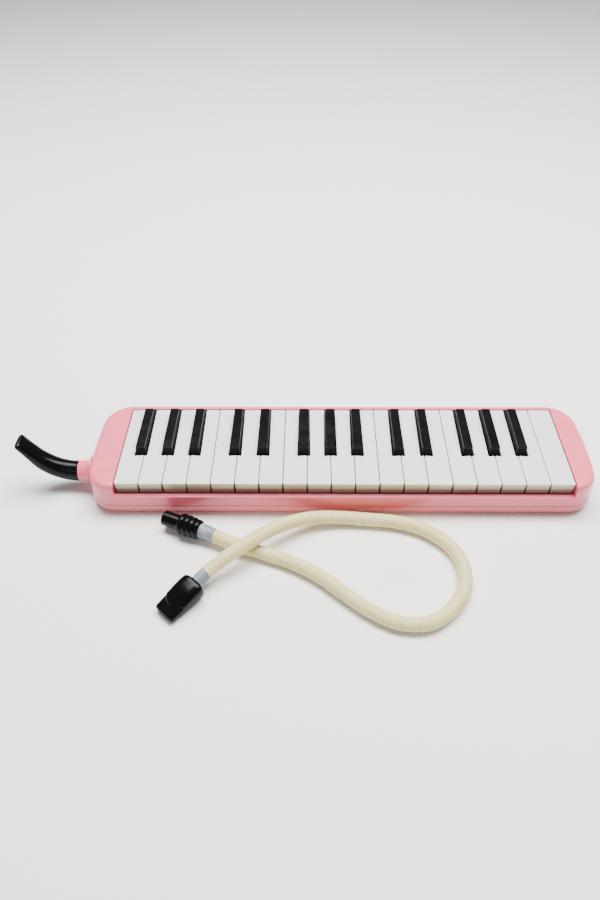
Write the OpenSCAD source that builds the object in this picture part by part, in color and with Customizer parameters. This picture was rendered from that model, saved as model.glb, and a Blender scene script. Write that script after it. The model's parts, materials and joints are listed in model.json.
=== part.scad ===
// Melodica: a keyed free-reed wind instrument with its short mouthpiece and its blowing hose.
// Origin: bottom centre of the case. X along the keyboard, low notes at -X; Y towards the back; Z up.

/* [Case] */
// Length of the case over its bowed ends
case_l = 428; // [427:0.5:432]
// Depth of the case, front to back
case_w = 105; // [104:0.5:107]
// Height of the end plateaus
case_h = 32.6; // [32:0.2:34]
// Height of the joint between lower and upper case
seam_z = 11; // [10.6:0.1:11.4]
// Wall thickness of both case halves
wall = 2.2; // [2:0.1:2.4]
// Height of the lowered rim in front of the keys
rim_z = 21; // [20.6:0.2:21.4]

/* [Keys] */
// Distance from one white key to the next
pitch = 20; // [19.9:0.05:20]
// Gap between neighbouring white keys
key_gap = 0.8; // [0.6:0.1:1]
// Height of the white keys' playing face
white_top = 32; // [31.6:0.2:32.4]
// Height of the black keys' top
black_top = 39; // [38:0.5:40]
// Width of a black key at its base
black_w = 9.2; // [8.8:0.1:9.6]
// Thickness of the keys' skirts
skirt = 1.6; // [1.3:0.1:1.7]

/* [Wind] */
// Bore radius of the blow socket
socket_r = 6.5; // [6.4:0.05:6.6]
// Radial clearance of the plugs in the blow socket
plug_gap = 0.05; // [0.03:0.01:0.08]
// Outer radius of the hose
hose_r = 5.7; // [5.5:0.1:5.7]

/* [Hidden] */
$fn = 48;
eps = 0.01;

// colours
pink = [0.93, 0.67, 0.70];
ivory = [0.93, 0.93, 0.91];
jet = [0.08, 0.08, 0.09];
brass = [0.80, 0.65, 0.35];
steel = [0.70, 0.71, 0.73];
cream = [0.90, 0.87, 0.74];

// case outline and its roundings
front_r = 22;
back_r = 25;
bow_r = 360;
bottom_r = 8;
top_r = 4.5;

// opening for the keyboard
keys_x0 = -188;
keys_x1 = keys_x0 + 19 * pitch;
keys_y0 = -47.3;
keys_y1 = 45;
slack = 0.6;
well_wall = 2.2;
hang_z = 17.4;

// key mechanism
skirt_z = 20.8;
roof_z = 29.8;
rod_y = 13.5;
rod_z = 24.5;
rod_r = 1;
key_bore_r = 1.05;
post_bore_r = 1.03;
shank_gap = 0.35;
white_shank_y = -14;
black_y0 = -13.5;
black_y1 = 39;
foot_y0 = 19;
foot_y1 = 40;
foot_z = 19.4;

// keybed and wind chamber
bed_z0 = 10.4;
bed_z1 = 17;
deck_z0 = 13;
deck_z1 = 15.4;
bed_x0 = -187;
bed_x1 = 200;
bed_y0 = -9;
bed_y1 = 44;
chamber_y0 = -2.5;
chamber_z0 = 3;
plate_z0 = 9.2;
slot_y0 = 21;
slot_len = 15;
reed_root_y = 36.5;
valve_x = 190;
valve_z = 6.9;

// blow socket
socket_y = -17;
socket_z = 16;
socket_x = -226;
nose_r = 11;

// screws
corner_posts = [[-199, 36], [-197, -37], [205, 20], [204, -34]];
bed_posts = [[-120, -40], [0, -40], [120, -40]];
ears = [-170, -100, -30, 40, 110, 180];
// notes after which a screw holds each reed plate
plate_screw_k = [[0, 5, 10, 14], [16, 21, 26, 30]];

// hand strap
strap_x0 = -95;
strap_x1 = 75;
strap_y = -20;
strap_w = 20;

// route of the hose, from its connector to its mouthpiece: loops right and passes over itself
HOSE = [
  [-103, -83, 8.6], [-84, -91, 6.8], [-63, -98, 5.8], [-40, -107, 5.8], [-18, -120, 5.8],
  [2, -137, 5.8], [20, -151, 5.8], [40, -161, 5.8], [62, -161, 5.8], [80, -149, 5.8],
  [92, -131, 5.8], [94, -110, 5.8], [87, -91, 5.8], [70, -75, 5.8], [48, -66, 5.8],
  [24, -63, 5.8], [-2, -62, 7.2], [-26, -66, 10.8], [-48, -77, 15.2], [-66, -91, 18],
  [-81, -103, 17.8], [-94, -113, 15.2], [-105, -122, 12]];
connector_at = [-114.6, -77.8, 9.2];
connector_turn = 157;
lip_from = [-112, -129.6, 10];
lip_to = [-134.4, -154, 4.1];

// ---------- layout of the keyboard ----------
function has_black(i) = i >= 0 && i < 18 && i % 7 != 3 && i % 7 != 6;
function black_shift(i) = [-3, 0, 3, 0, -2, 2, 0][i % 7];
function black_x(i) = keys_x0 + pitch * (i + 1) + black_shift(i);
BLACK_AFTER = [for (i = [0 : 17]) if (has_black(i)) i];
half_slot = black_w / 2 + shank_gap;
function white_x0(i) = keys_x0 + pitch * i + key_gap / 2;
function white_x1(i) = keys_x0 + pitch * (i + 1) - key_gap / 2;
function shank_x0(i) = has_black(i - 1) ? black_x(i - 1) + half_slot : white_x0(i);
function shank_x1(i) = has_black(i) ? black_x(i) - half_slot : white_x1(i);
function shank_mid(i) = (shank_x0(i) + shank_x1(i)) / 2;
// middles of all key shanks, low to high
NOTE_X = [for (i = [0 : 18], s = [0, 1]) if (s == 0 || has_black(i)) s == 0 ? shank_mid(i) : black_x(i)];
function reed_len(k) = 27 - 0.45 * k;
// screws of the reed plates stand midway between two notes
SCREW_X = [for (r = plate_screw_k) [for (k = r) (NOTE_X[k] + NOTE_X[k + 1]) / 2]];

// ---------- shared shapes ----------
// how far the bowed end has come in at a distance from mid depth
function bow(y) = y * y / (2 * bow_r);

// plan of the case, drawn in by a given amount: round corners and slightly bowed ends
module outline(inset) {
  x = case_l / 2 - inset;
  y = case_w / 2 - inset;
  // corners as [side of the middle, radius]
  corners = [for (c = [[-1, front_r], [1, back_r]]) [c[0], c[1] - inset]];
  intersection() {
    union() {
      translate([-x, -y + corners[0][1]]) square([2 * x, 2 * y - corners[0][1] - corners[1][1]]);
      for (c = corners) {
        r = c[1];
        cx = x - bow(y - r) - r;
        translate([-cx, c[0] < 0 ? -y : 0]) square([2 * cx, y]);
        for (s = [-1, 1]) translate([s * cx, c[0] * (y - r)]) circle(r = r, $fn = 96);
      }
    }
    translate([bow_r - x, 0]) circle(r = bow_r, $fn = 360);
    translate([x - bow_r, 0]) circle(r = bow_r, $fn = 360);
  }
}

// cross-section of the case: half_w to each side, large round below, small round above
module section(half_w, inset) {
  r = bottom_r - inset;
  t = max(top_r - inset, 0.8);
  translate([-half_w + r, inset]) square([2 * (half_w - r), case_h - 2 * inset]);
  translate([-half_w, bottom_r]) square([2 * half_w, case_h - top_r - bottom_r]);
  for (s = [-1, 1]) {
    translate([s * (half_w - r), bottom_r]) circle(r = r);
    translate([s * (half_w - t), case_h - inset - t]) circle(r = t);
  }
  translate([-half_w + t, case_h - top_r - eps]) square([2 * (half_w - t), top_r + eps - inset]);
}

// the whole case as one block, drawn in by a given amount
module block(inset) {
  x = case_l / 2 - inset;
  y = case_w / 2 - inset;
  intersection() {
    linear_extrude(case_h) outline(inset);
    translate([-case_l, 0, 0]) rotate([90, 0, 90]) linear_extrude(2 * case_l) section(y, inset);
    translate([0, case_w, 0]) rotate([90, 0, 0]) linear_extrude(2 * case_w) section(x, inset);
  }
}

module box(lo, hi) {
  translate(lo) cube(hi - lo);
}

// a rod along X, Y or Z from a point
module rod_x(p, r, l) {
  translate(p) rotate([0, 90, 0]) cylinder(r = r, h = l);
}

module rod_y(p, r, l) {
  translate(p) rotate([-90, 0, 0]) cylinder(r = r, h = l);
}

module rod_z(p, r, l) {
  translate(p) cylinder(r = r, h = l);
}

// closed skin over a list of rings that all have n points
module skin(rings, n) {
  m = len(rings);
  pts = [for (r = rings) each r];
  sides = [for (j = [0 : m - 2], k = [0 : n - 1])
    [j * n + k, j * n + (k + 1) % n, (j + 1) * n + (k + 1) % n, (j + 1) * n + k]];
  low = [for (k = [n - 1 : -1 : 0]) k];
  high = [for (k = [0 : n - 1]) (m - 1) * n + k];
  polyhedron(points = pts, faces = concat([low], sides, [high]), convexity = 6);
}

function unit(v) = v / norm(v);

// ring of n points about p, square to direction d: a wide to the side, b high
function ring(p, d, a, b, n) =
  let (side = unit(cross(d, [0, 0, 1])), up = cross(side, d))
  [for (k = [0 : n - 1]) p + a * cos(360 * k / n) * side + b * sin(360 * k / n) * up];

// ---------- case ----------
module upper_case() {
  color(pink) difference() {
    union() {
      difference() {
        intersection() {
          block(0);
          box([-case_l, -case_w, seam_z], [case_l, case_w, case_h]);
        }
        block(wall);
        // rebate that takes the lower case's lip
        translate([0, 0, seam_z - 1]) linear_extrude(2.6) outline(1.1);
      }
      // walls that hang down round the keys, at the ends and behind
      for (x = [keys_x0 - slack - well_wall, keys_x1 + slack])
        box([x, 1 - case_w / 2, hang_z], [x + well_wall, keys_y1 + 1, case_h - 1]);
      box([keys_x0 - slack - well_wall, keys_y1 + slack, hang_z],
          [keys_x1 + slack + well_wall, keys_y1 + slack + well_wall, case_h - 1]);
      // low rim in front of the keys
      box([keys_x0 - slack - 1, 1 - case_w / 2, rim_z - 2], [keys_x1 + slack + 1, keys_y0 - slack, rim_z]);
      for (p = corner_posts) rod_z([p[0], p[1], seam_z + 0.2], 3, case_h - wall - seam_z);
    }
    // well of the keyboard, and the cut that lowers its front
    box([keys_x0 - slack, keys_y0 - slack, 0], [keys_x1 + slack, keys_y1 + slack, 50]);
    box([keys_x0 - slack, -case_w, rim_z], [keys_x1 + slack, keys_y0, 50]);
    for (p = corner_posts) rod_z([p[0], p[1], 10], 1.05, 9);
    rod_x([-220, socket_y, socket_z], nose_r + 0.1, 14);
  }
}

module lower_case() {
  color(pink) {
    difference() {
      union() {
        difference() {
          intersection() {
            block(0);
            box([-case_l, -case_w, 0], [case_l, case_w, seam_z]);
          }
          block(wall);
        }
        // lip that enters the upper case
        translate([0, 0, seam_z - 1]) linear_extrude(2.4) difference() {
          outline(1.2);
          outline(wall);
        }
        // raised floor over the strap channel
        box([strap_x0 - 3, strap_y - strap_w / 2 - 3, 2], [strap_x1 + 3, strap_y + strap_w / 2 + 3, 4.8]);
        for (p = corner_posts) rod_z([p[0], p[1], 2], 3.4, seam_z - 2);
        for (p = bed_posts) rod_z([p[0], p[1], 2], 3.4, 3);
        // housing of the spit valve
        intersection() {
          block(0.5);
          box([valve_x - 5, bed_y1 + 0.2, 2], [valve_x + 4.4, case_w / 2, seam_z]);
        }
      }
      box([strap_x0, strap_y - strap_w / 2 - 1, -1], [strap_x1, strap_y + strap_w / 2 + 1, 3]);
      for (p = concat(corner_posts, bed_posts)) {
        rod_z([p[0], p[1], -1], 2.7, 3);
        rod_z([p[0], p[1], -1], 1.3, 20);
      }
      for (x = [strap_x0 + 6, strap_x1 - 6]) rod_z([x, strap_y, 0], 1.35, 10);
      rod_y([valve_x, bed_y1 + 1.6, valve_z], 3.3, 20);
      rod_y([valve_x, bed_y1 - 1, valve_z], 1.5, 5);
      rod_x([-220, socket_y, socket_z], nose_r + 0.1, 14);
    }
  }
}

module case_screws() {
  color(steel) {
    for (p = corner_posts) {
      rod_z([p[0], p[1], 0.4], 2.4, 1.5);
      rod_z([p[0], p[1], 1], 1, 17);
    }
    for (p = bed_posts) {
      rod_z([p[0], p[1], 0.4], 2.4, 1.5);
      rod_z([p[0], p[1], 1], 1, 11);
    }
  }
}

module hand_strap() {
  color(jet) difference() {
    box([strap_x0 + 0.6, strap_y - strap_w / 2, 1.2], [strap_x1 - 0.6, strap_y + strap_w / 2, 2.8]);
    for (x = [strap_x0 + 6, strap_x1 - 6]) rod_z([x, strap_y, 0], 1.4, 5);
  }
}

module strap_buttons() {
  color(steel) for (x = [strap_x0 + 6, strap_x1 - 6]) {
    rod_z([x, strap_y, 0.3], 4.5, 0.8);
    rod_z([x, strap_y, 1], 1.3, 3.7);
  }
}

// ---------- wind path ----------
module blow_socket() {
  color(pink) difference() {
    union() {
      translate([socket_x, socket_y, socket_z]) rotate([0, 90, 0])
        cylinder(r1 = 9, r2 = nose_r, h = 14);
      rod_x([socket_x + 14, socket_y, socket_z], nose_r, 6);
      rod_x([-210.2, socket_y, socket_z], nose_r + 1.8, 2);
      box([-207.4, -27, 3.8], [-191.4, -7, 26]);
      box([-207.4, -27, 3.8], [-189, 20, 15]);
    }
    rod_x([socket_x - 1, socket_y, socket_z], socket_r, 25);
    box([-205.8, -25.4, 5.4], [-193, -8.6, 24.4]);
    box([-205.8, -25.4, 5.4], [-190.6, 18.4, 13.4]);
    box([-192, 4, 5.4], [-188, 16, 8.4]);
  }
}

module socket_seal() {
  color(jet) difference() {
    box([-189, 2, 3.8], [bed_x0, 18, plate_z0]);
    box([-190, 4, 5.4], [-186, 16, 8.4]);
  }
}

module chamber_cover() {
  color(jet) difference() {
    union() {
      box([bed_x0, chamber_y0, chamber_z0], [bed_x1, bed_y1, plate_z0]);
      for (x = ears) {
        rod_z([x, -5.5, 7.4], 2.8, bed_z0 - 7.4);
        box([x - 2.8, -5.5, 7.4], [x + 2.8, chamber_y0 + 1, plate_z0]);
      }
    }
    box([bed_x0 + 2, chamber_y0 + 2, chamber_z0 + 1.6], [bed_x1 - 2, bed_y1 - 2, 20]);
    for (x = ears) rod_z([x, -5.5, 0], 1, 20);
    box([bed_x0 - 1, 4, 5.4], [bed_x0 + 3, 16, 8.4]);
    rod_y([valve_x, bed_y1 - 5, valve_z], 1.5, 8);
  }
}

module chamber_gasket() {
  color([0.25, 0.25, 0.27]) difference() {
    box([bed_x0, chamber_y0, plate_z0], [bed_x1, bed_y1, bed_z0]);
    box([bed_x0 + 2.5, chamber_y0 + 2.5, 0], [bed_x1 - 2.5, bed_y1 - 2.5, 20]);
  }
}

module chamber_screws() {
  color(steel) for (x = ears) {
    rod_z([x, -5.5, 6.1], 2, 1.3);
    rod_z([x, -5.5, 7], 0.95, 7);
  }
}

// ---------- keybed ----------
module keybed() {
  color([0.16, 0.16, 0.17]) difference() {
    union() {
      box([-186, keys_y0 + 0.3, deck_z0], [190, bed_y0 + 1, deck_z1]);
      box([bed_x0, bed_y0, bed_z0], [bed_x1, bed_y1, bed_z1]);
      for (x = NOTE_X) box([x - 1.5, rod_y - 3, bed_z1 - 1], [x + 1.5, rod_y + 3, 26.6]);
      for (i = [0 : 18]) {
        m = (white_x0(i) + white_x1(i)) / 2;
        box([m - 1.2, -33, deck_z1 - 1], [m + 1.2, -27, 24]);
      }
      for (p = bed_posts) rod_z([p[0], p[1], 5.1], 3, deck_z0 - 5);
    }
    // the rod lies in all posts
    rod_x([-195, rod_y, rod_z], post_bore_r, 400);
    // air slots, and the reed cells below them
    for (k = [0 : 31]) {
      box([NOTE_X[k] - 1.2, slot_y0, 5], [NOTE_X[k] + 1.2, slot_y0 + slot_len, 20]);
      box([NOTE_X[k] - 1.8, reed_root_y - reed_len(k) - 1, 5], [NOTE_X[k] + 1.8, reed_root_y, 13.4]);
    }
    for (p = bed_posts) rod_z([p[0], p[1], 4], 1.05, 8.6);
    for (x = ears) rod_z([x, -5.5, 9], 1, 5.4);
    for (x = concat(SCREW_X[0], SCREW_X[1]), y = [2.6, 39]) rod_z([x, y, 9], 0.9, 5);
  }
}

module key_rod() {
  color(steel) rod_x([-188, rod_y, rod_z], rod_r, keys_x1 + 188);
}

// one bent leaf a key: foot on the deck, tip under the key's roof
module key_springs() {
  color(steel) for (x = NOTE_X)
    translate([x - 1.5, 0, 0]) rotate([90, 0, 90]) linear_extrude(3)
      polygon([[6, bed_z1], [-1.2, bed_z1], [-9.4, roof_z - 0.2], [-8.9, roof_z - 0.1],
               [-0.9, bed_z1 + 0.4], [6, bed_z1 + 0.4]]);
}

module front_felt() {
  color([0.45, 0.12, 0.14]) box([-186, -45, deck_z1], [190, -38, deck_z1 + 1.5]);
}

// ---------- reeds ----------
// plate for notes k0 to k1, between x0 and x1
module reed_plate(k0, k1, x0, x1, screws) {
  color(brass) difference() {
    box([x0, 1, plate_z0], [x1, 41, bed_z0]);
    for (k = [k0 : k1]) {
      box([NOTE_X[k] - 1.3, reed_root_y - reed_len(k), 5], [NOTE_X[k] + 1.3, reed_root_y - 0.5, 20]);
      rod_z([NOTE_X[k], reed_root_y + 1.6, 5], 0.65, 10);
    }
    for (x = screws, y = [2.6, 39]) rod_z([x, y, 5], 0.9, 10);
  }
}

module reed_plate_low() {
  reed_plate(0, 15, bed_x0 + 3, -0.6, SCREW_X[0]);
}

module reed_plate_high() {
  reed_plate(16, 31, 0.6, 187, SCREW_X[1]);
}

module reeds() {
  color(brass) for (k = [0 : 31]) difference() {
    box([NOTE_X[k] - 1.1, reed_root_y - reed_len(k) + 0.2, plate_z0 - 0.3],
        [NOTE_X[k] + 1.1, reed_root_y + 3, plate_z0]);
    rod_z([NOTE_X[k], reed_root_y + 1.6, 5], 0.65, 10);
  }
}

module reed_rivets() {
  color(brass) for (x = NOTE_X) {
    rod_z([x, reed_root_y + 1.6, plate_z0 - 0.7], 1, 0.4);
    rod_z([x, reed_root_y + 1.6, plate_z0 - 0.5], 0.6, 1.6);
  }
}

module reed_plate_screws() {
  color(steel) for (x = concat(SCREW_X[0], SCREW_X[1]), y = [2.6, 39]) {
    rod_z([x, y, plate_z0 - 1], 1.5, 1);
    rod_z([x, y, plate_z0 - 0.5], 0.85, 5);
  }
}

// ---------- spit valve ----------
module spit_button() {
  color(jet) {
    rod_y([valve_x, 48.6, valve_z], 3.2, 4.4);
    rod_y([valve_x, 40.4, valve_z], 1.4, 9);
    rod_y([valve_x, 40.2, valve_z], 2.1, 0.8);
  }
}

module spit_seal() {
  color([0.3, 0.3, 0.3]) difference() {
    rod_y([valve_x, 41, valve_z], 2.1, 1);
    rod_y([valve_x, 40, valve_z], 1.5, 4);
  }
}

// coil between the housing and the button's cap, drawn as its outer tube
module spit_spring() {
  color(steel) difference() {
    rod_y([valve_x, bed_y1 + 1.6, valve_z], 2.6, 3);
    rod_y([valve_x, bed_y1, valve_z], 1.9, 8);
  }
}

// ---------- short mouthpiece ----------
mp_bend_r = 40;
mp_turn = 58;
mp_tip = 20;
mp_n = 28;
// place and slope along the curved middle line, a from 0 at the socket to mp_turn, then straight
function mp_at(a, s) = [
  socket_x - mp_bend_r * sin(a) - s * cos(a), socket_y, socket_z + mp_bend_r * (1 - cos(a)) + s * sin(a)];
function mp_ring(a, s, half_w, half_h) =
  [for (k = [0 : mp_n - 1])
    let (c = cos(360 * k / mp_n), h = half_h * sin(360 * k / mp_n))
    mp_at(a, s) + [h * sin(a), half_w * c, h * cos(a)]];

module mouthpiece() {
  // stages: angle, straight run, half width, half height
  outer = [[0, 0, 9, 9], [12, 0, 8.8, 8.8], [26, 0, 8.6, 8.5], [42, 0, 8.4, 7.8],
           [mp_turn, 0, 8.2, 5.8], [mp_turn, mp_tip * 0.5, 8.2, 3.9], [mp_turn, mp_tip, 8.2, 3.1]];
  inner = [[0, -0.5, 4.6, 4.6], [12, 0, 4.6, 4.4], [26, 0, 4.8, 4], [42, 0, 5.4, 3.5],
           [mp_turn, 0, 6, 2.8], [mp_turn, mp_tip * 0.5, 6.4, 2.1], [mp_turn, mp_tip + 0.5, 6.6, 1.5]];
  color(jet) {
    difference() {
      skin([for (s = outer) mp_ring(s[0], s[1], s[2], s[3])], mp_n);
      skin([for (s = inner) mp_ring(s[0], s[1], s[2], s[3])], mp_n);
    }
    difference() {
      union() {
        rod_x([socket_x, socket_y, socket_z], socket_r - plug_gap, 4);
        rod_x([socket_x, socket_y, socket_z], socket_r - 1.1, 8);
        rod_x([socket_x + 5.2, socket_y, socket_z], socket_r - plug_gap, 10);
      }
      rod_x([socket_x - 1, socket_y, socket_z], 4.6, 30);
    }
  }
}

module mouthpiece_ring() {
  color([0.35, 0.12, 0.1]) translate([socket_x + 4.6, socket_y, socket_z]) rotate([0, 90, 0])
    rotate_extrude() translate([socket_r - plug_gap - 0.52, 0]) circle(r = 0.52, $fn = 24);
}

// ---------- blowing hose ----------
function along(i) = i == 0 ? unit(HOSE[0] - connector_at) :
  i == len(HOSE) - 1 ? unit(lip_from - HOSE[i]) : unit(HOSE[i + 1] - HOSE[i - 1]);

module hose() {
  color(cream) skin([for (i = [0 : len(HOSE) - 1]) ring(HOSE[i], along(i), hose_r, hose_r, 12)], 12);
}

// a tube between two points
module sleeve(p, q, r_out, r_in) {
  d = q - p;
  turn = atan2(d[1], d[0]);
  lean = acos(d[2] / norm(d));
  translate(p) rotate([0, lean, turn]) difference() {
    cylinder(r = r_out, h = norm(d));
    translate([0, 0, -1]) cylinder(r = r_in, h = norm(d) + 2);
  }
}

module hose_cuffs() {
  color([0.62, 0.62, 0.60]) {
    sleeve(connector_at, HOSE[0], 6.4, 4.4);
    sleeve(HOSE[len(HOSE) - 1], lip_from, 5.5, 4.4);
  }
}

module hose_connector() {
  color(jet) translate(connector_at) rotate([0, 0, connector_turn]) rotate([0, 90, 0]) difference() {
    union() {
      cylinder(r1 = 7.6, r2 = 8.8, h = 13);
      translate([0, 0, 13]) cylinder(r = 9, h = 6);
      translate([0, 0, 19]) cylinder(r = socket_r - plug_gap, h = 15.5);
    }
    translate([0, 0, -1]) cylinder(r = 4.2, h = 40);
  }
}

module hose_mouthpiece() {
  d = unit(lip_to - lip_from);
  l = norm(lip_to - lip_from);
  // stages: share of the length, half width, half height
  outer = [[0, 8.8, 6.6], [0.06, 10.2, 7.2], [0.3, 10.6, 7.2], [0.6, 10.3, 6.1], [0.85, 9.9, 4.7], [1, 9.6, 4]];
  inner = [[-0.02, 4.6, 4.6], [0.3, 6, 4.4], [0.6, 7, 3.6], [1.02, 7.6, 1.6]];
  color(jet) difference() {
    skin([for (s = outer) ring(lip_from + s[0] * l * d, d, s[1], s[2], 28)], 28);
    skin([for (s = inner) ring(lip_from + s[0] * l * d, d, s[1], s[2], 28)], 28);
  }
}

// ---------- keys ----------
module white_key(i) {
  a = white_x0(i);
  b = white_x1(i);
  c = shank_x0(i);
  d = shank_x1(i);
  color(ivory) difference() {
    union() {
      box([a, keys_y0, skirt_z], [b, white_shank_y, white_top]);
      box([c, white_shank_y - 1, skirt_z], [d, keys_y1, white_top]);
      box([c, foot_y0, foot_z], [d, foot_y1, skirt_z + 1]);
    }
    box([a + skirt, keys_y0 + skirt, 0], [b - skirt, white_shank_y - skirt, roof_z]);
    box([c + skirt, white_shank_y - 5, 0], [d - skirt, foot_y0, roof_z]);
    box([c + skirt, foot_y0 - 1, skirt_z + 1], [d - skirt, keys_y1 - skirt, roof_z]);
    box([c + skirt, foot_y1, 0], [d - skirt, keys_y1 - skirt, roof_z]);
    rod_x([a - 1, rod_y, rod_z], key_bore_r, pitch + 2);
  }
}

module black_key(i) {
  x = black_x(i);
  h = black_w / 2;
  t = h - 0.75;
  color(jet) difference() {
    union() {
      intersection() {
        // long section: slightly leaning front, level top
        translate([x - h, 0, 0]) rotate([90, 0, 90]) linear_extrude(black_w)
          polygon([[black_y0, skirt_z], [black_y1, skirt_z], [black_y1, black_top],
                   [black_y0 + 1.6, black_top], [black_y0, white_top]]);
        // cross-section: sides lean in above the white keys
        translate([x, black_y1, 0]) rotate([90, 0, 0]) linear_extrude(black_y1 - black_y0)
          polygon([[-h, skirt_z], [h, skirt_z], [h, white_top], [t, black_top], [-t, black_top], [-h, white_top]]);
      }
      box([x - h, foot_y0, foot_z], [x + h, black_y1 - 1, skirt_z + 1]);
    }
    box([x - h + skirt, black_y0 + skirt, 0], [x + h - skirt, foot_y0, roof_z]);
    box([x - h + skirt, foot_y0 - 1, skirt_z + 1], [x + h - skirt, black_y1 - skirt - 1, roof_z]);
    rod_x([x - h - 1, rod_y, rod_z], key_bore_r, black_w + 2);
  }
}

upper_case();
lower_case();
blow_socket();
keybed();
key_rod();
key_springs();
front_felt();
reed_plate_low();
reed_plate_high();
reeds();
reed_rivets();
reed_plate_screws();
chamber_gasket();
chamber_cover();
chamber_screws();
socket_seal();
spit_button();
spit_spring();
spit_seal();
case_screws();
hand_strap();
strap_buttons();
mouthpiece();
mouthpiece_ring();
hose();
hose_cuffs();
hose_connector();
hose_mouthpiece();
for (i = [0 : 18]) white_key(i);
for (j = [0 : 12]) black_key(BLACK_AFTER[j]);
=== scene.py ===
"""Melodica: pink case, 32 keys, short curved mouthpiece and a corrugated blowing hose beside it.

Sizes are in millimetres up to the point where a mesh is made; meshes and places are in metres.
X runs along the keyboard from the low notes, Y towards the back, Z up, origin under the case.
"""

import json
import math

import bmesh
import bpy
from mathutils import Matrix, Vector


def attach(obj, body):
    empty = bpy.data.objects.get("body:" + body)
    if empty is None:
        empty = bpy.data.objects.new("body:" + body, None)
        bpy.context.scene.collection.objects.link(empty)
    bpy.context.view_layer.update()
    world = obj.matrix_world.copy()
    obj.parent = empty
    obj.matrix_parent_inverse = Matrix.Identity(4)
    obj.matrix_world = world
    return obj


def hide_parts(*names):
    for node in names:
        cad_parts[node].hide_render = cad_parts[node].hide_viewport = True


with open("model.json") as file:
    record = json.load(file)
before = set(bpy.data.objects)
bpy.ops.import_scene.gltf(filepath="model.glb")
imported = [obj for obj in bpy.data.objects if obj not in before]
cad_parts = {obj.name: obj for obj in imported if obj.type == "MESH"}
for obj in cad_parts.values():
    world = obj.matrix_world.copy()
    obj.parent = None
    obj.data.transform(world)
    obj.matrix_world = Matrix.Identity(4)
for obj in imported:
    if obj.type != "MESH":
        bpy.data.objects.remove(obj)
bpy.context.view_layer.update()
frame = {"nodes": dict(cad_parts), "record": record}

MM = 0.001
TAU = 2 * math.pi
SHARP_EDGE = math.radians(38)
FLAT_JOIN = math.radians(0.5)

# ---------- sizes of the instrument ----------
CASE_L, CASE_W, CASE_H = 428.0, 105.0, 32.6
SEAM_Z = 11.0
WALL = 2.2
RIM_Z = 21.0
FRONT_R, BACK_R, BOW_R = 22.0, 25.0, 360.0
BOTTOM_R, TOP_R = 8.0, 4.0
DRAFT, DRAFT_Z = 0.06, 16.0
ARC_STEPS, BOW_STEPS = 14, 8
WELL_FLOOR_Z = 17.4
WHITE_KEYS = 19
PITCH = 20.0
KEY_GAP = 0.8
KEYS_X0, KEYS_X1 = -188.0, 192.0
KEYS_Y0, KEYS_Y1 = -47.3, 45.0
SLACK = 0.6
WHITE_TOP, BLACK_TOP = 32.0, 39.0
BLACK_HALF = 4.6
SHANK_GAP = 0.35
SKIRT, SKIRT_Z, ROOF_Z = 1.6, 20.8, 29.8
SHOULDER_Y = -14.0
KEY_EDGE = 0.8
BLACK_Y0, BLACK_Y1 = -13.5, 39.0
FOOT_Y0, FOOT_Y1, FOOT_Z = 19.0, 40.0, 19.4
BED_TOP = 17.0
PAD_HALF = 3.2
SOCKET_Y, SOCKET_Z = -17.0, 16.0
SOCKET_X = -226.0
NOSE_R, SOCKET_R, PLUG_R = 11.0, 6.5, 6.45
CORNER_POSTS = [(-199, 36), (-197, -37), (205, 20), (204, -34)]
BED_POSTS = [(-120, -40), (0, -40), (120, -40)]
POST_R, SCREW_WELL_R, SCREW_HOLE_R = 3.4, 2.7, 1.3
VALVE_X, VALVE_Z = 190.0, 6.9
STRAP_X0, STRAP_X1, STRAP_Y, STRAP_W = -95.0, 75.0, -20.0, 20.0
STRAP_FOLD, RIVET_IN = 16.0, 6.0

# route of the hose's middle line, from the connector's cuff to the mouthpiece's cuff
HOSE = [
    (-103, -83, 8.6), (-84, -91, 6.8), (-63, -98, 5.8), (-40, -107, 5.8), (-18, -120, 5.8),
    (2, -137, 5.8), (20, -151, 5.8), (40, -161, 5.8), (62, -161, 5.8), (80, -149, 5.8),
    (92, -131, 5.8), (94, -110, 5.8), (87, -91, 5.8), (70, -75, 5.8), (48, -66, 5.8),
    (24, -63, 5.8), (-2, -62, 7.2), (-26, -66, 10.8), (-48, -77, 15.2), (-66, -91, 18),
    (-81, -103, 17.8), (-94, -113, 15.2), (-105, -122, 12)]
CONNECTOR_AT = Vector((-114.6, -77.8, 9.2))
CONNECTOR_TURN = math.radians(157)
LIP_FROM = Vector((-112, -129.6, 10))
LIP_TO = Vector((-134.4, -154, 4.1))
HOSE_R, GROOVE, RIDGE_PITCH = 5.7, 0.55, 1.45


# ---------- camera, and a maker of lights ----
def add_object(name, data):
    made = bpy.data.objects.new(name, data)
    bpy.context.scene.collection.objects.link(made)
    return made


def add_camera():
    lens = bpy.data.cameras.new("camera")
    lens.lens = 28.05
    lens.sensor_width = 36.0
    lens.clip_start, lens.clip_end = 0.01, 20.0
    pitch, yaw, roll = (math.radians(a) for a in (44.23, -1.165, -0.70))
    ahead = Vector((math.sin(yaw) * math.cos(pitch), math.cos(yaw) * math.cos(pitch), -math.sin(pitch)))
    side = ahead.cross(Vector((0, 0, 1))).normalized()
    up = side.cross(ahead)
    right = math.cos(roll) * side + math.sin(roll) * up
    top = math.cos(roll) * up - math.sin(roll) * side
    place = Matrix((right, top, -ahead)).transposed().to_4x4()
    place.translation = Vector((-25.5, -440.6, 454.0)) * MM
    camera = add_object("camera", lens)
    camera.matrix_world = place
    bpy.context.scene.camera = camera


def add_light(name, spot, aim, size, power, tint=(1, 1, 1)):
    lamp = bpy.data.lights.new(name, "AREA")
    lamp.shape = "RECTANGLE"
    lamp.size, lamp.size_y = size
    lamp.energy = power
    lamp.color = tint
    made = add_object(name, lamp)
    made.location = spot
    made.rotation_euler = (Vector(aim) - Vector(spot)).to_track_quat("-Z", "Y").to_euler()


add_camera()


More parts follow.
